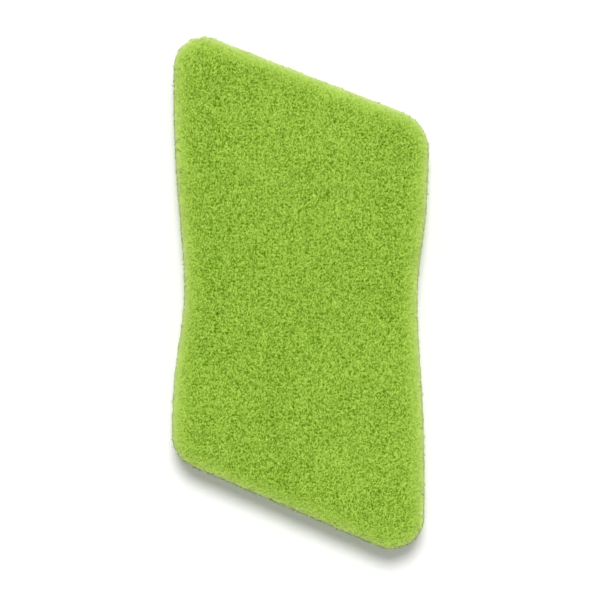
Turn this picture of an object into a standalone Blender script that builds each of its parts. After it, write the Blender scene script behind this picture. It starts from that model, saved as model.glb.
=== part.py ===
"""Foam scrub sponge: one pad of coarse open foam, cut as a rhomboid with waisted long sides.

The pad lies on its broad face. Z is up, Y runs along the long sides, and the slanted ends
fall from the left side to the right side. The foam's largest pores lie open in both broad
faces. Run it with blender --background --python part.py.
"""

import math
import random

import bmesh
import bpy
from mathutils import Matrix, Vector
from mathutils.bvhtree import BVHTree

MM = 0.001

# Sizes of the plan in millimetres, taken at the widest level of the pad
LEFT_SIDE = 118.9
TOP_WIDTH = 70.1
BOTTOM_WIDTH = 69.1

# Slope of the two ends in degrees, falling towards the right side
TOP_SLANT = 20.8
BOTTOM_SLANT = 22.8

# Corner radii in millimetres
TOP_LEFT_RADIUS = 8.4
TOP_RIGHT_RADIUS = 11.1
BOTTOM_RIGHT_RADIUS = 9.0
BOTTOM_LEFT_RADIUS = 9.3

# The waist: how far each long side dips in, how far below the middle of the left side
LEFT_DIP = 3.2
RIGHT_DIP = 2.6
WAIST_DROP = 14.5

# Handle lengths of the long sides, as shares of each run between a corner and the waist
CORNER_EASE = 0.59
WAIST_EASE = 0.27

# Section of the pad in millimetres
THICKNESS = 20.0
RIM_RADIUS = 6.0

# The foam's largest open pores in millimetres: how far apart they lie, how wide and deep they
# are, how much foam is left between two of them at least, and the share their width varies by
PORE_SPACING = 5.6
PORE_WIDTH = 1.6
PORE_DEPTH = 0.7
PORE_WALL = 0.6
PORE_SPREAD = 0.2

# Steps along each stretch of the outline, round the rim and round a pore
OUTLINE_STEPS = 12
RIM_STEPS = 5
PORE_SIDES = 7

# How far a pore's cutter stands out of the face in millimetres
CUTTER_LIFT = 0.2

# Chance that scatters the pores of the upper and of the lower face
UPPER_SEED = 11
LOWER_SEED = 12

# Green foam: linear colour and roughness
FOAM_COLOUR = (0.270, 0.451, 0.045, 1.0)
FOAM_ROUGHNESS = 0.95

MERGE_DISTANCE = 0.00005
COLLECTION_NAME = "scrub_sponge"
CUTTERS_NAME = "cutters"


def clear_scene():
    """Remove whatever objects the scene opened with."""
    for old in list(bpy.data.objects):
        bpy.data.objects.remove(old, do_unlink=True)


def sharp_corners():
    """The rhomboid's four corners before rounding, clockwise from the top left."""
    top_left = Vector((-TOP_WIDTH / 2, LEFT_SIDE / 2, 0.0))
    bottom_left = Vector((-BOTTOM_WIDTH / 2, -LEFT_SIDE / 2, 0.0))
    top_fall = TOP_WIDTH * math.tan(math.radians(TOP_SLANT))
    bottom_fall = BOTTOM_WIDTH * math.tan(math.radians(BOTTOM_SLANT))
    top_right = top_left + Vector((TOP_WIDTH, -top_fall, 0.0))
    bottom_right = bottom_left + Vector((BOTTOM_WIDTH, -bottom_fall, 0.0))
    return [top_left, top_right, bottom_right, bottom_left]


def round_corner(corner, before, after, radius):
    """Two outline knots that turn the sharp corner into an arc: (handle in, point, handle out)."""
    towards_before = (before - corner).normalized()
    towards_after = (after - corner).normalized()
    inner_angle = towards_before.angle(towards_after)
    cut = radius / math.tan(inner_angle / 2)
    handle = radius * 4 / 3 * math.tan((math.pi - inner_angle) / 4)
    start = corner + towards_before * cut
    end = corner + towards_after * cut
    return [
        [start, start, start - towards_before * handle],
        [end - towards_after * handle, end, end],
    ]


def waist_knot(leaving, arriving, inward, dip):
    """The knot where a long side dips in at the waist, between the corner that the outline is
    leaving and the one it is arriving at. Both corners' handles are eased towards it."""
    start, end = leaving[1], arriving[1]
    run = end - start
    along = run.normalized()
    share = (-WAIST_DROP - start.y) / run.y
    waist = start + run * share + inward * dip
    first_run = (waist - start).length
    second_run = (end - waist).length
    leaving[2] = start + along * CORNER_EASE * first_run
    arriving[0] = end - along * CORNER_EASE * second_run
    return [waist - along * WAIST_EASE * first_run, waist, waist + along * WAIST_EASE * second_run]


def outline_knots():
    """The whole outline, clockwise from the top left corner."""
    corners = sharp_corners()
    radii = [TOP_LEFT_RADIUS, TOP_RIGHT_RADIUS, BOTTOM_RIGHT_RADIUS, BOTTOM_LEFT_RADIUS]
    rounded = []
    for index, (corner, radius) in enumerate(zip(corners, radii)):
        before = corners[index - 1]
        after = corners[(index + 1) % len(corners)]
        rounded.append(round_corner(corner, before, after, radius))
    top_left, top_right, bottom_right, bottom_left = rounded
    right = waist_knot(top_right[1], bottom_right[0], Vector((-1.0, 0.0, 0.0)), RIGHT_DIP)
    left = waist_knot(bottom_left[1], top_left[0], Vector((1.0, 0.0, 0.0)), LEFT_DIP)
    return top_left + top_right + [right] + bottom_right + bottom_left + [left]


def make_curve(knots):
    """A flat closed curve through the knots, extruded and rounded at both rims."""
    curve = bpy.data.curves.new("foam_pad", "CURVE")
    curve.dimensions = "2D"
    curve.fill_mode = "BOTH"
    curve.resolution_u = OUTLINE_STEPS
    curve.extrude = (THICKNESS / 2 - RIM_RADIUS) * MM
    curve.bevel_depth = RIM_RADIUS * MM
    curve.bevel_resolution = RIM_STEPS
    curve.offset = -RIM_RADIUS * MM
    spline = curve.splines.new("BEZIER")
    spline.bezier_points.add(len(knots) - 1)
    spline.use_cyclic_u = True
    for point, (handle_in, place, handle_out) in zip(spline.bezier_points, knots):
        point.handle_left_type = "FREE"
        point.handle_right_type = "FREE"
        point.co = place * MM
        point.handle_left = handle_in * MM
        point.handle_right = handle_out * MM
    return curve


def foam_material():
    """Matt yellow-green foam."""
    material = bpy.data.materials.new("green_foam")
    material.use_nodes = True
    shader = material.node_tree.nodes["Principled BSDF"]
    shader.inputs["Base Color"].default_value = FOAM_COLOUR
    shader.inputs["Roughness"].default_value = FOAM_ROUGHNESS
    shader.inputs["Metallic"].default_value = 0.0
    return material


def make_pad(collection):
    """The foam pad as one welded solid, centred on the origin and resting on the ground."""
    curve = make_curve(outline_knots())
    drawn = bpy.data.objects.new("pad_outline", curve)
    collection.objects.link(drawn)
    bpy.context.view_layer.update()
    evaluated = drawn.evaluated_get(bpy.context.evaluated_depsgraph_get())
    mesh = bpy.data.meshes.new_from_object(evaluated)
    bpy.data.objects.remove(drawn, do_unlink=True)
    shape = bmesh.new()
    shape.from_mesh(mesh)
    bmesh.ops.remove_doubles(shape, verts=shape.verts, dist=MERGE_DISTANCE)
    shape.to_mesh(mesh)
    shape.free()
    xs = [vertex.co.x for vertex in mesh.vertices]
    ys = [vertex.co.y for vertex in mesh.vertices]
    zs = [vertex.co.z for vertex in mesh.vertices]
    pad = bpy.data.objects.new("foam_pad", mesh)
    pad.location = (-(min(xs) + max(xs)) / 2, -(min(ys) + max(ys)) / 2, -min(zs))
    pad.data.materials.clear()
    pad.data.materials.append(foam_material())
    collection.objects.link(pad)
    return pad


def scatter(middle, chance):
    """Places for pores all over a broad face: a hexagonal grid, with each place shaken.

    The middle of the face stays between three places, so that it lies on sound foam.
    """
    widest = PORE_WIDTH * (1 + PORE_SPREAD) * (1 + CUTTER_LIFT / PORE_DEPTH)
    shake = (PORE_SPACING - widest - PORE_WALL) / 2
    row_height = PORE_SPACING * math.sqrt(3) / 2
    rows = math.ceil(LEFT_SIDE / row_height)
    columns = math.ceil(max(TOP_WIDTH, BOTTOM_WIDTH) / PORE_SPACING)
    for row in range(-rows, rows + 1):
        for column in range(-columns, columns + 1):
            x = (column + 0.5 * (row % 2) - 0.5) * PORE_SPACING
            y = (row - 1 / 3) * row_height
            way = Matrix.Rotation(chance.uniform(0, 2 * math.pi), 3, "Z")
            moved = way @ Vector((shake * math.sqrt(chance.random()), 0.0, 0.0))
            yield middle + Vector((x, y, 0.0)) + moved


def lies_flat(pad_tree, place, reach):
    """Whether the pad's upper face is still flat at a reach all round a place. Both faces are
    alike, so this holds for the lower one too."""
    for side in range(PORE_SIDES):
        turned = Matrix.Rotation(2 * math.pi * side / PORE_SIDES, 3, "Z")
        above = place + turned @ Vector((reach, 0.0, THICKNESS))
        hit = pad_tree.ray_cast(above * MM, Vector((0.0, 0.0, -1.0)))[0]
        if hit is None or hit.z < THICKNESS / 2 * MM - MERGE_DISTANCE:
            return False
    return True


def make_pores(pad, collection):
    """Cutters for the largest pores, pointed cones that stand in both of the pad's faces."""
    tree = BVHTree.FromObject(pad, bpy.context.evaluated_depsgraph_get())
    middle = Vector((-pad.location.x, -pad.location.y, 0.0)) / MM
    shape = bmesh.new()
    height = PORE_DEPTH + CUTTER_LIFT
    centre = THICKNESS / 2 + CUTTER_LIFT - height / 2
    for seed, flip in ((UPPER_SEED, math.pi), (LOWER_SEED, 0.0)):
        chance = random.Random(seed)
        for place in scatter(middle, chance):
            radius = PORE_WIDTH / 2 * (1 + PORE_SPREAD * chance.uniform(-1, 1))
            spin = chance.uniform(0, 2 * math.pi)
            if not lies_flat(tree, place, radius + PORE_WALL):
                continue
            stand = Matrix.Translation(place * MM) @ Matrix.Rotation(flip, 4, "X")
            stand = stand @ Matrix.Translation((0.0, 0.0, -centre * MM)) @ Matrix.Rotation(spin, 4, "Z")
            bmesh.ops.create_cone(
                shape,
                cap_ends=True,
                segments=PORE_SIDES,
                radius1=radius * height / PORE_DEPTH * MM,
                radius2=0.0,
                depth=height * MM,
                matrix=stand,
            )
    mesh = bpy.data.meshes.new("large_pores")
    shape.to_mesh(mesh)
    shape.free()
    pores = bpy.data.objects.new("large_pores", mesh)
    pores.parent = pad
    pores.hide_render = True
    pores.display_type = "WIRE"
    collection.objects.link(pores)
    return pores


def main():
    """Build the sponge in a collection of its own, and cut its largest pores."""
    clear_scene()
    collection = bpy.data.collections.new(COLLECTION_NAME)
    cutters = bpy.data.collections.new(CUTTERS_NAME)
    for made in (collection, cutters):
        bpy.context.scene.collection.children.link(made)
    pad = make_pad(collection)
    bpy.context.view_layer.update()
    cut = pad.modifiers.new("open pores", "BOOLEAN")
    cut.operation = "DIFFERENCE"
    cut.object = make_pores(pad, cutters)


main()
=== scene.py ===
"""Foam scrub sponge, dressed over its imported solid.

The solid gives the outline, the thickness and the rounded rim. Over it go a pitted core of
dense green foam and a net of fine strands, which are the cut cells of the open foam.
"""

import copy
import logging
import math
from collections.abc import Iterator
from dataclasses import dataclass, field
from enum import Enum
from itertools import product

import bpy
import numpy as np
from mathutils import Euler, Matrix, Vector

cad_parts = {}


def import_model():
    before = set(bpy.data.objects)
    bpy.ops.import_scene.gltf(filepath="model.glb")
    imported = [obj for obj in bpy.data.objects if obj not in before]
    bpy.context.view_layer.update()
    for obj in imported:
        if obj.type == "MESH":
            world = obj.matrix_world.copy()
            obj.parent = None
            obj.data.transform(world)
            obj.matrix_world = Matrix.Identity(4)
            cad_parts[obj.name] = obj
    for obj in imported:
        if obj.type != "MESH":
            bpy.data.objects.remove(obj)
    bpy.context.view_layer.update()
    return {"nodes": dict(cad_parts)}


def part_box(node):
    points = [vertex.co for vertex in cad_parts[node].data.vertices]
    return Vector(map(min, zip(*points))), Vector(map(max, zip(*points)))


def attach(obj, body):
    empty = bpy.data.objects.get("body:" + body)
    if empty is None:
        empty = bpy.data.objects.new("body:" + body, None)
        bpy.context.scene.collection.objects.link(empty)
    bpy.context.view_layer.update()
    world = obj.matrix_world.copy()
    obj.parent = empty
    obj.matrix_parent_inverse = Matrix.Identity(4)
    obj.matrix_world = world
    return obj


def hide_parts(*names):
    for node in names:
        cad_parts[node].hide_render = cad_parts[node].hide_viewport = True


LOG = logging.getLogger("scrub_sponge")

MM = 0.001
PAD_NODE = "foam_pad"
BODY = "root"
RIM_RADIUS = 6 * MM
LARGE_PORE_DEPTH = 0.7 * MM

# Strands that meet at a junction of the foam's lattice
ARMS = 4

# The least that a way's length and a difference in depth count for where they divide
LEAST_LENGTH = 1e-6
LEAST_FALL = 1e-9

# The curve by which screens show light: its straight start, and the power that follows
SCREEN_START = 0.04045
SCREEN_SLOPE = 12.92
SCREEN_OFFSET = 0.055
SCREEN_POWER = 2.4


def tone(red: float, green: float, blue: float) -> tuple[float, float, float, float]:
    """Turn a colour as a screen shows it into the linear colour that a shader takes.

    Args:
        red: Red, from 0 to 255.
        green: Green, from 0 to 255.
        blue: Blue, from 0 to 255.

    Returns:
        Linear red, green and blue, and an alpha of 1.
    """
    linear = []
    for part in (red, green, blue):
        share = part / 255
        if share <= SCREEN_START:
            linear.append(share / SCREEN_SLOPE)
        else:
            linear.append(((share + SCREEN_OFFSET) / (1 + SCREEN_OFFSET)) ** SCREEN_POWER)
    return (linear[0], linear[1], linear[2], 1.0)


class Signal:
    """A number or colour that runs through a tree's nodes, with Python arithmetic."""

    def __init__(self, bench: "Bench", socket: bpy.types.NodeSocket) -> None:
        """Wrap one output socket of a node on the bench."""
        self.bench = bench
        self.socket = socket

    def _maths(self, operation: str, first: "Signal | float", second: "Signal | float") -> "Signal":
        """Add a Math node for one operation on two values."""
        inputs = {0: first, 1: second}
        return self.bench.node("ShaderNodeMath", {"operation": operation}, inputs)["Value"]

    def __add__(self, other: "Signal | float") -> "Signal":
        """Sum of the two."""
        return self._maths("ADD", self, other)

    def __radd__(self, other: float) -> "Signal":
        """Sum, with the number first."""
        return self._maths("ADD", other, self)

    def __sub__(self, other: "Signal | float") -> "Signal":
        """Difference of the two."""
        return self._maths("SUBTRACT", self, other)

    def __rsub__(self, other: float) -> "Signal":
        """Difference, with the number first."""
        return self._maths("SUBTRACT", other, self)

    def __mul__(self, other: "Signal | float") -> "Signal":
        """Product of the two."""
        return self._maths("MULTIPLY", self, other)

    def __rmul__(self, other: float) -> "Signal":
        """Product, with the number first."""
        return self._maths("MULTIPLY", other, self)

    def clamped(self) -> "Signal":
        """The same value, held between 0 and 1."""
        inputs = {"Value": self, "Min": 0.0, "Max": 1.0}
        return self.bench.node("ShaderNodeClamp", {}, inputs)["Result"]


class Outputs:
    """The output sockets of one node, read by name as signals."""

    def __init__(self, bench: "Bench", node: bpy.types.Node) -> None:
        """Keep the node and its bench."""
        self.bench = bench
        self.node = node

    def __getitem__(self, name: str) -> Signal:
        """Find an output.

        Args:
            name: The socket's name. A Mix node's is the one that its data type shows.

        Returns:
            The output as a signal.
        """
        for socket in self.node.outputs:
            if socket.name == name and socket.enabled:
                return Signal(self.bench, socket)
        raise KeyError(name)


class Bench:
    """The node tree of a material, of the world or of a probe, with one way to put a node in it."""

    def __init__(self, tree: bpy.types.NodeTree) -> None:
        """Clear the tree and keep it."""
        self.tree = tree
        tree.nodes.clear()

    def node(self, kind: str, settings: dict[str, object], inputs: dict[object, object]) -> Outputs:
        """Add a node, set it up, and then give its sockets values or links.

        Args:
            kind: Blender's name for the node's type.
            settings: Attributes of the node, by name.
            inputs: Values or signals by socket name, or by place among the enabled sockets.

        Returns:
            The node's outputs.
        """
        made = self.tree.nodes.new(kind)
        for name, setting in settings.items():
            setattr(made, name, setting)
        enabled = [socket for socket in made.inputs if socket.enabled]
        for key, value in inputs.items():
            socket = enabled[key] if isinstance(key, int) else self._named(enabled, key)
            if isinstance(value, Signal):
                self.tree.links.new(value.socket, socket)
            else:
                socket.default_value = value
        return Outputs(self, made)

    @staticmethod
    def _named(sockets: list[bpy.types.NodeSocket], name: str) -> bpy.types.NodeSocket:
        """The first of the sockets that has this name."""
        return next(socket for socket in sockets if socket.name == name)

    def blend(
        self, share: Signal, low: Signal | tuple[float, ...], high: Signal | tuple[float, ...]
    ) -> Signal:
        """Mix two colours, from low at 0 to high at 1."""
        inputs = {"Factor": share, "A": low, "B": high}
        return self.node("ShaderNodeMix", {"data_type": "RGBA"}, inputs)["Result"]

    def _attribute(self, name: str) -> Outputs:
        """Read what the mesh carries at each point under a name."""
        settings = {"attribute_type": "GEOMETRY", "attribute_name": name}
        return self.node("ShaderNodeAttribute", settings, {})

    def mark(self, name: str) -> Signal:
        """Read a number that the mesh carries at each point."""
        return self._attribute(name)["Fac"]

    def marked_place(self, name: str) -> Signal:
        """Read a place that the mesh carries at each point."""
        return self._attribute(name)["Vector"]

    def place(self) -> Signal:
        """The place on the object, in metres."""
        return self.node("ShaderNodeTexCoord", {}, {})["Object"]

    def noise(self, place: Signal, period: float, detail: float = 1.0) -> Outputs:
        """Soft noise of a given period: "Fac" is one number around a half, "Color" three."""
        inputs = {"Vector": place, "Scale": 1 / period, "Detail": detail}
        return self.node("ShaderNodeTexNoise", {}, inputs)

    def swing(self, place: Signal, period: float, detail: float = 1.0) -> Signal:
        """Soft noise of a given period, around 0."""
        return self.noise(place, period, detail)["Fac"] - 0.5

    def cells(self, place: Signal, period: float, scatter: float) -> Outputs:
        """Flat cells round scattered points.

        Args:
            place: The place, of which x and y count.
            period: How far apart the points lie.
            scatter: How far they leave their grid, from 0 to 1.

        Returns:
            The "Distance" to the nearest point, in periods, and a "Color" for each cell.
        """
        settings = {"voronoi_dimensions": "2D", "feature": "F1", "distance": "EUCLIDEAN"}
        inputs = {"Vector": place, "Scale": 1 / period, "Randomness": scatter}
        return self.node("ShaderNodeTexVoronoi", settings, inputs)

    def shift(
        self, place: Signal, way: Signal, scale: tuple[float, ...], start: tuple[float, ...]
    ) -> Signal:
        """Move a place.

        Args:
            place: The place to move.
            way: The way to move it by.
            scale: What the way is multiplied by along each axis.
            start: A fixed move that is added.

        Returns:
            The moved place.
        """
        settings = {"operation": "MULTIPLY_ADD"}
        moved = self.node("ShaderNodeVectorMath", settings, {0: way, 1: scale, 2: place})["Vector"]
        return self.node("ShaderNodeVectorMath", {"operation": "ADD"}, {0: moved, 1: start})["Vector"]

    def seen(self) -> Signal:
        """1 where the eye sees a thing straight, in a shine or through glass, and 0 for its light."""
        path = self.node("ShaderNodeLightPath", {}, {})
        return (path["Is Camera Ray"] + path["Is Glossy Ray"] + path["Is Transmission Ray"]).clamped()


class Probe:
    """Loose points, at which geometry nodes read values all at once."""

    def __init__(self, points: np.ndarray) -> None:
        """Make the points, and a node tree that takes them in.

        Args:
            points: One row of x, y and z for each point, in metres.
        """
        self.count = len(points)
        self.mesh = bpy.data.meshes.new("probe")
        self.mesh.vertices.add(self.count)
        self.mesh.vertices.foreach_set("co", points.astype(np.float32).ravel())
        self.holder = bpy.data.objects.new("probe", self.mesh)
        bpy.context.scene.collection.objects.link(self.holder)
        self.tree = bpy.data.node_groups.new("probe", "GeometryNodeTree")
        for way in ("INPUT", "OUTPUT"):
            self.tree.interface.new_socket("Geometry", in_out=way, socket_type="NodeSocketGeometry")
        self.bench = Bench(self.tree)
        self.geometry = self.bench.node("NodeGroupInput", {}, {})["Geometry"]
        self.place = self.bench.node("GeometryNodeInputPosition", {}, {})["Position"]

    def read(self, wanted: dict[str, Signal]) -> dict[str, np.ndarray]:
        """Read the wanted values and clear the probe away.

        Args:
            wanted: Signals of the probe's own bench, by a name for each.

        Returns:
            For each name, one number or one row of three for each point.
        """
        geometry = self.geometry
        widths = {}
        for name, signal in wanted.items():
            vector = signal.socket.type == "VECTOR"
            widths[name] = 3 if vector else 1
            settings = {"data_type": "FLOAT_VECTOR" if vector else "FLOAT"}
            inputs = {"Geometry": geometry, "Name": name, "Value": signal}
            kind = "GeometryNodeStoreNamedAttribute"
            geometry = self.bench.node(kind, settings, inputs)["Geometry"]
        self.bench.node("NodeGroupOutput", {}, {"Geometry": geometry})
        self.holder.modifiers.new("probe", "NODES").node_group = self.tree
        bpy.context.view_layer.update()
        evaluated = self.holder.evaluated_get(bpy.context.evaluated_depsgraph_get())
        found = {}
        for name, width in widths.items():
            values = np.empty(self.count * width, dtype=np.float32)
            evaluated.data.attributes[name].data.foreach_get("vector" if width == 3 else "value", values)
            found[name] = values.astype(float).reshape((-1, 3) if width == 3 else -1)
        bpy.data.objects.remove(self.holder)
        bpy.data.meshes.remove(self.mesh)
        bpy.data.node_groups.remove(self.tree)
        return found


@dataclass(frozen=True)
class Pores:
    """The bubbles cut open by the skin: one scatter of them, for the meshes and the paint.

    A pore reaches from its middle to its brink, both in periods, and its brink varies by the
    variety. Its depth goes from the faintest up by the spread. The whole scatter is bent by the
    drift, which changes over the drift period.
    """

    period: float = 1.02 * MM
    scatter: float = 0.8
    middle: float = 0.05
    brink: float = 0.47
    variety: float = 0.2
    faintest: float = 0.2
    spread: float = 1.4
    drift: float = 1.2 * MM
    drift_period: float = 6 * MM

    def signal(self, bench: Bench, skin: Signal) -> Signal:
        """Work out how far into a pore a place is.

        Args:
            bench: The bench to put the nodes on.
            skin: The place on the skin laid out flat.

        Returns:
            0 from the brink outwards, and up to 1 in the middle.
        """
        way = bench.noise(skin, self.drift_period)["Color"]
        half = self.drift / 2
        moved = bench.shift(skin, way, (self.drift, self.drift, 0.0), (-half, -half, 0.0))
        cell = bench.cells(moved, self.period, self.scatter)
        brink = cell["Color"] * self.variety + (self.brink - self.variety / 2)
        depth = ((brink - cell["Distance"]) * (1 / (self.brink - self.middle))).clamped()
        return (depth * (self.faintest + cell["Color"] * self.spread)).clamped()

    def measure(self, skin: np.ndarray) -> np.ndarray:
        """Read the same signal at loose places, one row of x, y and z each, in metres."""
        probe = Probe(skin)
        return probe.read({"pore": self.signal(probe.bench, probe.place)})["pore"]


@dataclass(frozen=True)
class Specks:
    """Round light and dark specks, scattered over the skin, each with a reach in periods."""

    period: float = 0.3 * MM
    scatter: float = 1.0
    reach: float = 0.55

    def signal(self, bench: Bench, skin: Signal) -> Signal:
        """Work out how light or dark a place is.

        Args:
            bench: The bench to put the nodes on.
            skin: The place on the skin laid out flat.

        Returns:
            Above 0 in a light speck and below 0 in a dark one, fading to 0 at its edge.
        """
        cell = bench.cells(skin, self.period, self.scatter)
        near = ((self.reach - cell["Distance"]) * (1 / self.reach)).clamped()
        return (cell["Color"] - 0.5) * near


@dataclass(frozen=True)
class FoamFinish:
    """Matt green foam, with a painted shade colour deep in its pores, one along its strands and a pale
    rim that is a painted sheen.

    Its lightness runs from 0, the deep colour of painted shade, to 1, the strands' colour. It starts
    at the level, and each mark and noise moves it by its own share, the rough ones less towards the
    edge. The pores, the large pores' dips and the depth under the surface darken it as painted shade,
    and the edge lightens it as a painted sheen. The rim's colour, a painted sheen of the light that
    the foam's fuzz catches over the rim, comes in with the edge, and the noises mottle it.
    """

    name: str
    pores: Pores
    specks: Specks
    # deep is painted shade, the dark colour in the pores' hollows; rim is a painted sheen, the pale
    # light that the fuzz catches over the rim
    deep: tuple[float, float, float, float]
    strand: tuple[float, float, float, float]
    rim: tuple[float, float, float, float]
    roughness: float = 0.9
    roughness_share: float = 0.1
    cloud_period: float = 34 * MM
    patch_period: float = 9 * MM
    patch_detail: float = 2.0
    grain_period: float = 0.35 * MM
    level: float = 0.47
    # The share of painted shade with depth under the surface, read from the height mark
    height_shade_share: float = 0.15
    speck_share: float = 4.8
    grain_share: float = 0.7
    tint_share: float = 0.1
    patch_share: float = 0.2
    cloud_share: float = 0.2
    # Shares of painted shade in the pores and the large pores' dips, of painted sheen towards the edge,
    # how the painted pore shade calms towards the edge, and how the noises mottle the painted sheen of
    # the rim
    pore_shade_share: float = 0.4
    dip_shade_share: float = 0.05
    edge_sheen_share: float = 0.4
    edge_calm: float = 1.2
    edge_ease: float = 0.6
    rim_sheen_mottle: float = 0.6

    def _lightness(self, bench: Bench, edge: Signal, patches: Signal, grain: Signal) -> Signal:
        """Work out how light the foam is, with painted shade in the pores and lower down, and a painted
        sheen towards the rim.

        Args:
            bench: The material's bench.
            edge: How far a place has turned over the rim.
            patches: Broad noise around 0.
            grain: Fine noise around 0.

        Returns:
            A number from 0 to 1, calmer towards the rim.
        """
        skin = bench.marked_place("skin")
        clouds = bench.swing(bench.place(), self.cloud_period)
        calm = 1 - edge * (self.edge_calm - self.edge_ease * edge)
        specks = self.speck_share * self.specks.signal(bench, skin) + self.grain_share * grain
        # Painted shade: the pores and the large pores' dips are painted darker, as their hollows would
        # be shaded
        painted_pore_shade = self.pore_shade_share * self.pores.signal(bench, skin) + self.dip_shade_share * bench.mark("dip")
        rough = specks + self.tint_share * bench.mark("tint") + self.patch_share * patches - painted_pore_shade
        # Painted shade with depth: places lower in the layer, by the height mark, are painted darker
        smooth = self.level + self.height_shade_share * bench.mark("height")
        # Painted sheen: the edge lightens the foam towards the rim
        return (smooth + calm * rough + self.cloud_share * clouds + self.edge_sheen_share * edge).clamped()

    def material(self) -> bpy.types.Material:
        """Make the material.

        Returns:
            A material that reads the marks "skin", "height", "edge", "dip" and "tint" from the mesh.
        """
        material = bpy.data.materials.new(self.name)
        material.use_nodes = True
        bench = Bench(material.node_tree)
        patches = bench.swing(bench.place(), self.patch_period, self.patch_detail)
        grain = bench.swing(bench.marked_place("skin"), self.grain_period)
        edge = bench.mark("edge")
        body = bench.blend(self._lightness(bench, edge, patches, grain), self.deep, self.strand)
        # The pale rim colour is a painted sheen, the light that the foam's fuzz catches over the rim,
        # brought in with the edge
        turned = edge * edge
        mottle = 1 + self.rim_sheen_mottle * patches + self.rim_sheen_mottle * grain
        inputs = {
            "Base Color": bench.blend((turned * turned * mottle).clamped(), body, self.rim),
            "Roughness": (self.roughness + self.roughness_share * grain).clamped(),
            "Specular IOR Level": 0.0,
        }
        shader = bench.node("ShaderNodeBsdfPrincipled", {}, inputs)
        bench.node("ShaderNodeOutputMaterial", {}, {"Surface": shader["BSDF"]})
        return material


class PadForm:
    """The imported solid's surface, which tells how deep a point lies under it."""

    BLOCK = 2 * MM
    ON_SURFACE = 0.05 * MM

    def __init__(self, solid: bpy.types.Object) -> None:
        """Keep the solid, and measure it once in coarse blocks.

        Args:
            solid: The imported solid.
        """
        self.solid = solid
        self.low, self.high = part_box(PAD_NODE)
        self.level = (self.low[2] + self.high[2]) / 2
        self.half = (self.high[2] - self.low[2]) / 2
        self.start = np.array(self.low) - self.BLOCK
        counts = np.ceil((np.array(self.high) - self.start) / self.BLOCK).astype(int) + 1
        blocks = np.indices(counts).reshape(3, -1).T
        depths, _ = self.measure(self.start + (blocks + 0.5) * self.BLOCK)
        self.depths = depths.reshape(counts)

    def near(self, points: np.ndarray, reach: float) -> np.ndarray:
        """Sort out the points that can't lie within reach of the surface, block by block.

        Args:
            points: One row of x, y and z for each point.
            reach: How far from the surface a point may lie.

        Returns:
            Whether each point's block comes within reach.
        """
        places = np.floor((points - self.start) / self.BLOCK).astype(int)
        inside = ((places >= 0) & (places < self.depths.shape)).all(1)
        found = np.zeros(len(points), dtype=bool)
        x, y, z = places[inside].T
        half_diagonal = self.BLOCK * math.sqrt(3) / 2
        found[inside] = np.abs(self.depths[x, y, z]) < reach + half_diagonal
        return found

    def wall(self, places: np.ndarray) -> tuple[np.ndarray, np.ndarray]:
        """Measure places against the pad's upright wall.

        Args:
            places: One row of x, y and z for each place.

        Returns:
            How far in from the wall each lies, and the level way out towards it.
        """
        level = places.copy()
        level[:, 2] = self.level
        inset, outward = self.measure(level)
        outward[:, 2] = 0.0
        return inset, outward / np.maximum(np.linalg.norm(outward, axis=1), LEAST_LENGTH)[:, None]

    def measure(self, points: np.ndarray) -> tuple[np.ndarray, np.ndarray]:
        """Measure points against the surface.

        Args:
            points: One row of x, y and z for each point, in metres.

        Returns:
            How deep each point lies, below 0 outside, and the outward normal nearest to it.
        """
        probe = Probe(points)
        bench = probe.bench
        solid = bench.node("GeometryNodeObjectInfo", {}, {"Object": self.solid})["Geometry"]
        settings = {"target_element": "FACES"}
        nearest = bench.node("GeometryNodeProximity", settings, {0: solid})["Position"]
        facing = bench.node("GeometryNodeInputNormal", {}, {})["Normal"]
        settings = {"data_type": "FLOAT_VECTOR"}
        normal = bench.node("GeometryNodeSampleNearestSurface", settings, {0: solid, 1: facing})["Value"]
        found = probe.read({"nearest": nearest, "normal": normal})
        way = found["nearest"] - points
        side = np.where((way * found["normal"]).sum(1) < 0, -1.0, 1.0)
        distance = np.linalg.norm(way, axis=1)
        clear = distance > self.ON_SURFACE
        outward = found["normal"].copy()
        outward[clear] = way[clear] * (side[clear] / distance[clear])[:, None]
        return distance * side, outward


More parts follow.
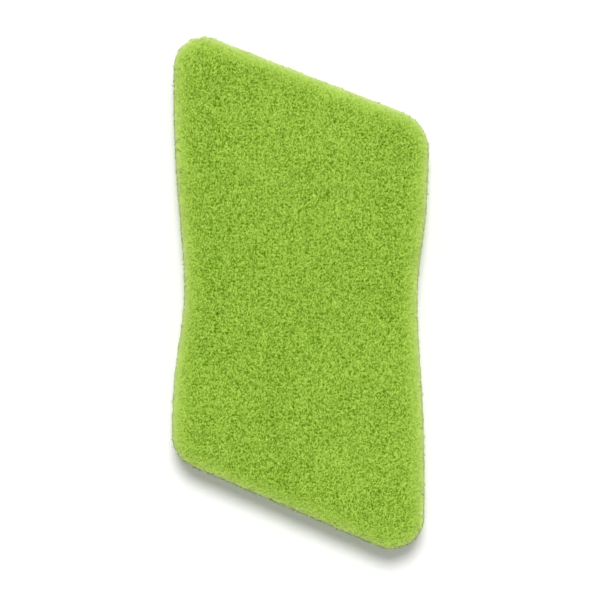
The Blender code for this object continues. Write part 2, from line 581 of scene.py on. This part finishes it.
@dataclass
class Lattice:
    """The foam's strands: a bent lattice, with a junction wherever four of them meet.

    It is counted in quarters of a cell. Of a junction's three numbers one is odd, one is a whole
    number of cells and one is half a cell more.
    """

    QUARTERS = 4

    # The tables of chance: their length, how a grid point's numbers are mixed to look one up, how
    # many jitters a shake has at most, and how far the tints spread
    TABLE = 4099
    TABLE_STEPS = (7919, 104729, 1299709)
    TABLE_FOLD = 7
    LONGEST_SHAKE = 2.0
    TINT_SPREAD = 0.35

    # The waves that bend the lattice, and how many sways past the pad it is looked through
    WAVES = 8
    WAVE_LENGTHS_MM = (8.0, 19.0)
    SWAYS_BEYOND = 3

    form: PadForm
    cell: float = 1.3 * MM
    jitter: float = 0.07 * MM
    sway: float = 0.5 * MM
    tilt: Euler = field(default_factory=lambda: Euler((0.57, 0.27, 0.4)))
    seed: int = 7

    def __post_init__(self) -> None:
        """Draw the tables of chance that the lattice is shaken and bent with."""
        chance = np.random.default_rng(self.seed)
        shakes = chance.normal(0.0, 1.0, (self.TABLE, 3))
        self.shakes = shakes.clip(-self.LONGEST_SHAKE, self.LONGEST_SHAKE) * self.jitter
        self.tints = chance.normal(0.0, self.TINT_SPREAD, self.TABLE)
        self.waves = chance.normal(0.0, 1.0, (self.WAVES, 3))
        self.waves /= np.linalg.norm(self.waves, axis=1)[:, None]
        self.wave_lengths = chance.uniform(*self.WAVE_LENGTHS_MM, self.WAVES) * MM
        self.pushes = chance.normal(0.0, 1.0, (self.WAVES, 3)) * self.sway / math.sqrt(self.WAVES)
        self.phases = chance.uniform(0.0, 2 * math.pi, self.WAVES)
        self.turn = np.array(self.tilt.to_matrix())
        self.quarter = self.cell / self.QUARTERS

    def lot(self, grid: np.ndarray) -> np.ndarray:
        """A place in the tables of chance for each grid point."""
        mixed = sum(grid[..., axis] * step for axis, step in enumerate(self.TABLE_STEPS))
        return np.mod(mixed ^ (mixed >> self.TABLE_FOLD), self.TABLE)

    def place(self, grid: np.ndarray) -> np.ndarray:
        """Bend the lattice.

        Args:
            grid: Grid points, in quarters of a cell.

        Returns:
            Where they lie after bending, in metres.
        """
        straight = grid * self.quarter @ self.turn.T
        bent = straight + self.shakes[self.lot(grid)]
        for wave, length, push, phase in zip(self.waves, self.wave_lengths, self.pushes, self.phases):
            swing = np.sin(straight @ wave * (2 * math.pi / length) + phase)
            bent = bent + swing[..., None] * push
        return bent

    def _levels(self) -> Iterator[np.ndarray]:
        """Go through the grid points over the whole pad, one level of them at a time.

        Yields:
            One row of three numbers for each grid point of the level.
        """
        low = np.array(self.form.low) - self.SWAYS_BEYOND * self.sway
        high = np.array(self.form.high) + self.SWAYS_BEYOND * self.sway
        corners = np.array(list(product(*zip(low, high)))) @ self.turn / self.quarter
        first = np.floor(corners.min(0)).astype(int)
        last = np.ceil(corners.max(0)).astype(int)
        across, along = np.meshgrid(
            np.arange(first[0], last[0] + 1), np.arange(first[1], last[1] + 1), indexing="ij"
        )
        for level in range(first[2], last[2] + 1):
            yield np.stack([across.ravel(), along.ravel(), np.full(across.size, level)], 1)

    def junctions(self, reach: float) -> np.ndarray:
        """Find the grid points where four strands meet.

        Args:
            reach: How far from the surface they may lie.

        Returns:
            One row of three numbers for each junction that comes about that near.
        """
        found = []
        for grid in self._levels():
            rest = grid % self.QUARTERS
            kinds = np.sort(np.minimum(rest, self.QUARTERS - rest), axis=1)
            grid = grid[(kinds == (0, 1, 2)).all(1)]
            found.append(grid[self.form.near(self.place(grid), reach)])
        return np.concatenate(found)

    def next_to(self, grid: np.ndarray) -> np.ndarray:
        """Find the four junctions that each junction's strands lead to.

        Args:
            grid: The junctions.

        Returns:
            Four rows of three numbers for each junction.
        """
        rest = grid % self.QUARTERS
        rows = np.arange(len(grid))
        odd = np.argmax(rest % 2 == 1, axis=1)
        even = np.argmax(rest == 0, axis=1)
        half = np.argmax(rest == 2, axis=1)
        step = np.where(rest[rows, odd] == 1, 1, -1)
        found = np.repeat(grid[:, None, :], ARMS, axis=1)
        strands = ((half, 1, 1), (half, -1, 1), (even, 1, -1), (even, -1, -1))
        for arm, (side, way, turn) in enumerate(strands):
            found[rows, arm, odd] += step * turn
            found[rows, arm, side] += way
        return found


class Skin:
    """Where places on the pad's skin lie: laid out flat, over the rim, and in the large pores.

    The edge mark grows as the skin turns over the rim, between two angles from level, and fades a
    little down the upright wall, between two drops below the broad face. The paint lightens the skin
    by it, as a painted sheen over the rim.
    """

    EDGE_START = math.radians(8)
    EDGE_FULL = math.radians(74)
    WALL_START = 4.6 * MM
    WALL_FULL = 9 * MM
    WALL_EDGE = 0.62

    def __init__(self, form: PadForm, places: np.ndarray) -> None:
        """Work out the facts of each place.

        Args:
            form: The pad's form.
            places: Places on the skin, one row of x, y and z each.
        """
        drop = form.half - np.abs(places[:, 2] - form.level)
        inset, way = form.wall(places)
        run = np.maximum(RIM_RADIUS - inset, 0.0)
        lean = np.arctan2(run, np.maximum(RIM_RADIUS - drop, LEAST_FALL))
        upright = np.clip(drop - RIM_RADIUS, 0.0, form.half - RIM_RADIUS)
        self.shift = way * (RIM_RADIUS * (lean - np.sin(lean)) + upright)[:, None]
        edge = np.clip((lean - self.EDGE_START) / (self.EDGE_FULL - self.EDGE_START), 0.0, 1.0)
        wall = np.clip((drop - self.WALL_START) / (self.WALL_FULL - self.WALL_START), 0.0, 1.0)
        self.edge = edge * (1.0 - (1.0 - self.WALL_EDGE) * wall)
        # How far down a large pore a place lies, which the paint darkens as painted shade
        self.dip = np.where(inset > RIM_RADIUS, drop / LARGE_PORE_DEPTH, 0.0).clip(0.0, 1.0)
        self.flat = self.lay_flat(places)

    def lay_flat(self, places: np.ndarray) -> np.ndarray:
        """Lay places out flat, from the broad faces over the rim and down the wall.

        Args:
            places: One row of x, y and z for each place.

        Returns:
            One row of x, y and 0 for each place.
        """
        flat = places + self.shift
        flat[:, 2] = 0.0
        return flat

    def chosen(self, mask: np.ndarray) -> "Skin":
        """Choose some of the places.

        Args:
            mask: Whether each place is chosen, or a row of places by number.

        Returns:
            The same facts for the chosen places alone.
        """
        part = copy.copy(self)
        for name in ("shift", "edge", "dip", "flat"):
            setattr(part, name, getattr(self, name)[mask])
        return part

    def repeated(self, count: int) -> "Skin":
        """The same facts, each so many times in a row."""
        return self.chosen(np.repeat(np.arange(len(self.edge)), count))

    def pore(self, pores: Pores) -> np.ndarray:
        """How far into a pore each place is, fading out over the rim."""
        return pores.measure(self.flat) * (1 - self.edge**2)


def lifted(facing: np.ndarray, lift: float = 1.4, level: float = 0.5, rate: float = 3.0) -> np.ndarray:
    """Turn normals up towards the light, for the softness of light that scatters in the foam.

    Args:
        facing: One normal for each point.
        lift: The height that is added where a normal is lifted in full.
        level: The share of it that a level normal gets.
        rate: How fast that share grows with the normal's own height.

    Returns:
        The turned normals.
    """
    turned = facing.copy()
    turned[:, 2] += lift * np.clip(level + rate * facing[:, 2], 0.0, 1.0)
    return turned / np.linalg.norm(turned, axis=1)[:, None]


def add_mark(mesh: bpy.types.Mesh, name: str, values: np.ndarray) -> None:
    """Store a mark for the material to read.

    Args:
        mesh: The mesh that carries it.
        name: The mark's name.
        values: One number, or one row of three, for each of the mesh's points.
    """
    row = values.ndim > 1
    mark = mesh.attributes.new(name, "FLOAT_VECTOR" if row else "FLOAT", "POINT")
    mark.data.foreach_set("vector" if row else "value", values.astype(np.float32).ravel())


def finish_piece(piece: bpy.types.Object, material: bpy.types.Material) -> None:
    """Give a foam piece its material, and let it ride and stand for the solid.

    Args:
        piece: The piece.
        material: Its material.
    """
    piece.data.materials.clear()
    piece.data.materials.append(material)
    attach(piece, BODY)
    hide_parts(PAD_NODE)


@dataclass
class FoamCore:
    """The dense inside of the pad, a closed body whose skin is pitted by the bubbles."""

    form: PadForm
    pores: Pores
    depth: float = 0.35 * MM
    rim_depth: float = 0.25 * MM
    pit: float = 0.3 * MM
    grid: float = 0.525 * MM
    # The height mark that the whole core carries, which sets its painted shade with depth
    height: float = 0.7

    def build(self, solid: bpy.types.Object, finish: FoamFinish) -> bpy.types.Object:
        """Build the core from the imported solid.

        Args:
            solid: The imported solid, which is copied and left as it is.
            finish: The foam's finish.

        Returns:
            The dressed core.
        """
        core = bpy.data.objects.new("foam_core", solid.data.copy())
        bpy.context.scene.collection.objects.link(core)
        remesh = core.modifiers.new("even grid", "REMESH")
        remesh.mode = "VOXEL"
        remesh.voxel_size = self.grid
        bpy.context.view_layer.update()
        evaluated = core.evaluated_get(bpy.context.evaluated_depsgraph_get())
        mesh = bpy.data.meshes.new_from_object(evaluated)
        core.modifiers.clear()
        core.data = mesh
        self._sink(mesh)
        finish_piece(core, finish.material())
        return core

    def _sink(self, mesh: bpy.types.Mesh) -> None:
        """Move the skin in under the strands, and press the pores into it.

        Args:
            mesh: The core's mesh, which is changed.
        """
        count = len(mesh.vertices)
        places = np.empty(count * 3)
        mesh.vertices.foreach_get("co", places)
        places = places.reshape(-1, 3)
        _, outward = self.form.measure(places)
        skin = Skin(self.form, places)
        pit = self.pit * skin.pore(self.pores)
        sunk = self.depth + (self.rim_depth - self.depth) * skin.edge + pit
        mesh.vertices.foreach_set("co", (places - outward * sunk[:, None]).ravel())
        add_mark(mesh, "skin", skin.flat)
        add_mark(mesh, "height", np.full(count, self.height))
        add_mark(mesh, "edge", skin.edge)
        add_mark(mesh, "dip", skin.dip)
        add_mark(mesh, "tint", np.zeros(count))
        mesh.update()
        mesh.shade_smooth()
        facing = np.empty(count * 3, dtype=np.float32)
        mesh.vertex_normals.foreach_get("vector", facing)
        mesh.normals_split_custom_set_from_vertices(lifted(facing.reshape(-1, 3)))


class Region(Enum):
    """The parts that the net is split into, each a piece of its own."""

    UPPER_LEFT = "net_upper_left"
    UPPER_RIGHT = "net_upper_right"
    LOWER_LEFT = "net_lower_left"
    LOWER_RIGHT = "net_lower_right"
    RIM = "net_rim"


@dataclass
class StrandNet:
    """The open foam's strands, a four-armed star at each junction that comes near the surface.

    A junction shows within the layer, which is thinner under the pad, and outside the pores'
    openings. Each arm ends a little proud of the surface, and has at least the shortest and at
    most the longest share of its strand. Here and there along the edge arms stick out as tufts.
    """

    # For each arm, the heels of the other three in the order in which they lie round it
    TURNS = ((1, 2, 3), (0, 3, 2), (0, 1, 3), (0, 2, 1))

    # What sets these draws of chance apart from the first one
    PROUD_DRAW = 3
    TUFT_DRAW = 5

    form: PadForm
    lattice: Lattice
    pores: Pores
    layer: float = 0.5 * MM
    under_layer: float = 0.3 * MM
    under_facing: float = -0.6
    opening: float = 0.35
    joint: float = 0.13 * MM
    joint_spread: float = 0.35
    joint_range: tuple[float, float] = (0.6, 1.5)
    shortest: float = 0.15
    longest: float = 0.95
    proud: float = 0.15 * MM
    tuft_length: float = 0.8 * MM
    tuft_share: float = 0.2
    tuft_rate: float = 2.0
    broad: float = 0.6

    def _chance(self, grid: np.ndarray, draw: int = 1) -> np.ndarray:
        """A number around 0 for each junction, another one for each draw."""
        return self.lattice.tints[self.lattice.lot(grid * draw)]

    def _tufts(self, grid: np.ndarray, edge: np.ndarray) -> np.ndarray:
        """How far each junction's strands stick out as a tuft, which happens here and there."""
        luck = self._chance(grid, self.TUFT_DRAW) - self.tuft_share
        return (edge * luck * self.tuft_rate).clip(0.0, 1.0)

    def _stars(self, grid: np.ndarray, depth: np.ndarray, tuft: np.ndarray) -> tuple[np.ndarray, ...]:
        """Build a four-armed star round each junction.

        Args:
            grid: The junctions.
            depth: How deep each lies under the surface.
            tuft: How far each sticks out as a tuft.

        Returns:
            The stars' points (junction, point, xyz), their triangles and their points' depths.
        """
        centre = self.lattice.place(grid)
        ends = self.lattice.place(self.lattice.next_to(grid))
        end_depth, _ = self.form.measure(ends.reshape(-1, 3))
        end_depth = end_depth.reshape(-1, ARMS)
        proud = self.proud * np.abs(self._chance(grid, self.PROUD_DRAW)) + self.tuft_length * tuft
        run = ends - centre[:, None, :]
        fall = depth[:, None] - end_depth
        cut = np.where(fall > LEAST_FALL, (depth + proud)[:, None] / np.maximum(fall, LEAST_FALL), 1.0)
        longest = np.where(end_depth < 0, self.longest + tuft[:, None], self.longest)
        reach = np.clip(cut, self.shortest, longest)
        unit = run / np.linalg.norm(run, axis=2)[:, :, None]
        width = (1.0 + self.joint_spread * self._chance(grid)).clip(*self.joint_range)
        thick = self.joint * width * (1.0 + tuft)
        heels = centre[:, None, :] - unit * thick[:, None, None]
        tips = centre[:, None, :] + run * reach[:, :, None]
        points = np.concatenate([heels, tips], axis=1)
        heel_depths = np.repeat(depth[:, None], ARMS, 1)
        depths = np.concatenate([heel_depths, depth[:, None] - fall * reach], axis=1)
        return points, self._triangles(unit), depths

    def _triangles(self, unit: np.ndarray) -> np.ndarray:
        """Join each star's points: heels first and then tips, with each arm's triangles facing out.

        Args:
            unit: The ways of each star's arms, of length 1.

        Returns:
            One row of three points for each triangle.
        """
        handed = np.linalg.det(unit[:, 1:, :] - unit[:, :1, :]) < 0
        right = []
        for arm, ring in enumerate(self.TURNS):
            for start, end in zip(ring, ring[1:] + ring[:1]):
                right.append((start, end, ARMS + arm))
        left = [(end, start, tip) for start, end, tip in right]
        first = (np.arange(len(unit)) * 2 * ARMS)[:, None, None]
        faces = np.where(handed[:, None, None], np.array(right)[None], np.array(left)[None]) + first
        return faces.reshape(-1, 3)

    def _region(self, centre: np.ndarray, edge: np.ndarray) -> np.ndarray:
        """Tell which piece each junction belongs to.

        Args:
            centre: Where the junctions lie.
            edge: How far each has turned over the rim.

        Returns:
            One region for each junction.
        """
        left = centre[:, 0] < 0
        upper = centre[:, 2] > self.form.level
        broad = edge < self.broad
        where = np.full(len(centre), Region.RIM, dtype=object)
        where[broad & upper & left] = Region.UPPER_LEFT
        where[broad & upper & ~left] = Region.UPPER_RIGHT
        where[broad & ~upper & left] = Region.LOWER_LEFT
        where[broad & ~upper & ~left] = Region.LOWER_RIGHT
        return where

    def build(self, finish: FoamFinish) -> list[bpy.types.Object]:
        """Grow the net over the whole pad and dress it.

        Args:
            finish: The foam's finish.

        Returns:
            The net's pieces.
        """
        grid = self.lattice.junctions(self.layer)
        centre = self.lattice.place(grid)
        depth, outward = self.form.measure(centre)
        layer = np.where(outward[:, 2] < self.under_facing, self.under_layer, self.layer)
        near = (depth > 0.0) & (depth < layer)
        grid, centre, depth, outward = grid[near], centre[near], depth[near], outward[near]
        skin = Skin(self.form, centre + outward * depth[:, None])
        whole = skin.pore(self.pores) < self.opening
        where = self._region(centre, skin.edge)
        material = finish.material()
        made = []
        for region in Region:
            chosen = whole & (where == region)
            facts = (grid[chosen], depth[chosen], outward[chosen], skin.chosen(chosen))
            piece = self._piece(region.value, *facts)
            finish_piece(piece, material)
            made.append(piece)
        return made

    @staticmethod
    def _mesh(name: str, points: np.ndarray, faces: np.ndarray) -> bpy.types.Mesh:
        """Make a mesh of triangles.

        Args:
            name: The mesh's name.
            points: One row of x, y and z for each point.
            faces: One row of three points for each triangle.

        Returns:
            The mesh.
        """
        mesh = bpy.data.meshes.new(name)
        mesh.vertices.add(len(points))
        mesh.vertices.foreach_set("co", points.ravel())
        mesh.loops.add(faces.size)
        mesh.loops.foreach_set("vertex_index", faces.ravel())
        mesh.polygons.add(len(faces))
        mesh.polygons.foreach_set("loop_start", np.arange(0, faces.size, 3))
        mesh.update()
        mesh.validate()
        return mesh

    def _piece(
        self, name: str, grid: np.ndarray, depth: np.ndarray, outward: np.ndarray, skin: Skin
    ) -> bpy.types.Object:
        """Turn one region's stars into an object with its marks.

        Args:
            name: The piece's name.
            grid: The region's junctions.
            depth: How deep each lies under the surface.
            outward: Each one's way out to the surface.
            skin: The skin above each.

        Returns:
            The piece, not dressed yet.
        """
        tuft = self._tufts(grid, skin.edge)
        stars, faces, depths = self._stars(grid, depth, tuft)
        points = stars.reshape(-1, 3)
        mesh = self._mesh(name, points, faces)
        per_star = stars.shape[1]
        spread = skin.repeated(per_star)
        facing = np.repeat(outward, per_star, axis=0)
        add_mark(mesh, "skin", spread.lay_flat(points + facing * depths.reshape(-1, 1)))
        # Strands lower in the layer get a lower height mark and so are painted darker: painted shade
        # with depth
        add_mark(mesh, "height", np.clip(1.0 - depths.ravel() / self.layer, 0.0, 1.0))
        # Tufts take the edge mark in full, so they get the pale rim colour, a painted sheen that
        # lightens them where they hang in shade
        add_mark(mesh, "edge", np.maximum(spread.edge, np.repeat(tuft, per_star)))
        add_mark(mesh, "dip", spread.dip)
        add_mark(mesh, "tint", np.repeat(self._chance(grid), per_star))
        mesh.shade_smooth()
        mesh.normals_split_custom_set_from_vertices(lifted(facing))
        piece = bpy.data.objects.new(name, mesh)
        bpy.context.scene.collection.objects.link(piece)
        return piece


@dataclass
class Studio:
    """A white floor, soft daylight from the far end, and a camera straight above."""

    frame_width: float = 164.7 * MM
    eye_level: float = 900 * MM
    aim: tuple[float, float] = (0.12 * MM, -1.83 * MM)
    pad_middle: float = 10 * MM
    roll: float = math.radians(0.469)
    sensor: float = 36.0
    floor_half: float = 3.0
    floor_level: float = -0.1 * MM
    floor_white: float = 0.97
    floor_lift: float = 0.12
    sky: float = 0.28
    sun: float = 2.32
    sun_angle: float = math.radians(17)
    sun_from: tuple[float, float, float] = (0.0, 0.36, 1.0)

    def build(self) -> None:
        """Set up the whole studio."""
        self._camera()
        self._floor()
        self._lights()
        bpy.context.scene.view_settings.view_transform = "Standard"

    def _camera(self) -> None:
        """Look straight down on the pad."""
        data = bpy.data.cameras.new("camera")
        data.sensor_width = self.sensor
        data.lens = self.sensor * (self.eye_level - self.pad_middle) / self.frame_width
        camera = bpy.data.objects.new("camera", data)
        camera.location = (*self.aim, self.eye_level)
        camera.rotation_euler = (0.0, 0.0, self.roll)
        bpy.context.scene.collection.objects.link(camera)
        bpy.context.scene.camera = camera

    def _floor(self) -> None:
        """Lay a white floor that shows soft shadows."""
        half = self.floor_half
        mesh = bpy.data.meshes.new("floor")
        sides = ((-half, -half), (half, -half), (half, half), (-half, half))
        corners = [(x, y, self.floor_level) for x, y in sides]
        mesh.from_pydata(corners, [], [(0, 1, 2, 3)])
        floor = bpy.data.objects.new("floor", mesh)
        bpy.context.scene.collection.objects.link(floor)
        material = bpy.data.materials.new("white_floor")
        material.use_nodes = True
        bench = Bench(material.node_tree)
        white = self.floor_white
        matt = bench.node("ShaderNodeBsdfDiffuse", {}, {"Color": (white, white, white, 1.0)})
        lift = bench.node("ShaderNodeEmission", {}, {"Strength": bench.seen() * self.floor_lift})
        both = bench.node("ShaderNodeAddShader", {}, {0: matt["BSDF"], 1: lift["Emission"]})
        bench.node("ShaderNodeOutputMaterial", {}, {"Surface": both["Shader"]})
        mesh.materials.append(material)

    def _lights(self) -> None:
        """Light the pad from all round, and a little more from the far end."""
        world = bpy.data.worlds.new("white_room")
        world.use_nodes = True
        bpy.context.scene.world = world
        bench = Bench(world.node_tree)
        strength = self.sky + bench.seen() * (1.0 - self.sky)
        inputs = {"Color": (1.0, 1.0, 1.0, 1.0), "Strength": strength}
        room = bench.node("ShaderNodeBackground", {}, inputs)
        bench.node("ShaderNodeOutputWorld", {}, {"Surface": room["Background"]})
        data = bpy.data.lights.new("soft_sun", "SUN")
        data.energy = self.sun
        data.angle = self.sun_angle
        sun = bpy.data.objects.new("soft_sun", data)
        sun.rotation_euler = Vector(self.sun_from).to_track_quat("Z", "Y").to_euler()
        bpy.context.scene.collection.objects.link(sun)


def main() -> None:
    """Build the sponge and its studio, and report each piece."""
    logging.basicConfig(level=logging.INFO, format="%(name)s: %(message)s")
    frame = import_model()
    solid = frame["nodes"][PAD_NODE]
    Studio().build()
    form = PadForm(solid)
    pores = Pores()
    specks = Specks()
    # The core's deep and strand colours are painted a little lighter than the strands', to make up for
    # the shade that the net casts on the core. In both finishes deep is painted shade and rim a painted
    # sheen.
    inner = FoamFinish(
        name="inner_foam",
        pores=pores,
        specks=specks,
        deep=tone(92, 134, 0),
        strand=tone(193, 231, 95),
        rim=tone(214, 234, 140),
    )
    outer = FoamFinish(
        name="strand_foam",
        pores=pores,
        specks=specks,
        deep=tone(88, 130, 0),
        strand=tone(187, 226, 91),
        rim=tone(223, 241, 164),
    )
    made = [FoamCore(form, pores).build(solid, inner)]
    made += StrandNet(form, Lattice(form), pores).build(outer)
    for piece in made:
        triangles = sum(len(polygon.vertices) - 2 for polygon in piece.data.polygons)
        LOG.info("%s: %d triangles", piece.name, triangles)


if __name__ == "__main__":
    main()
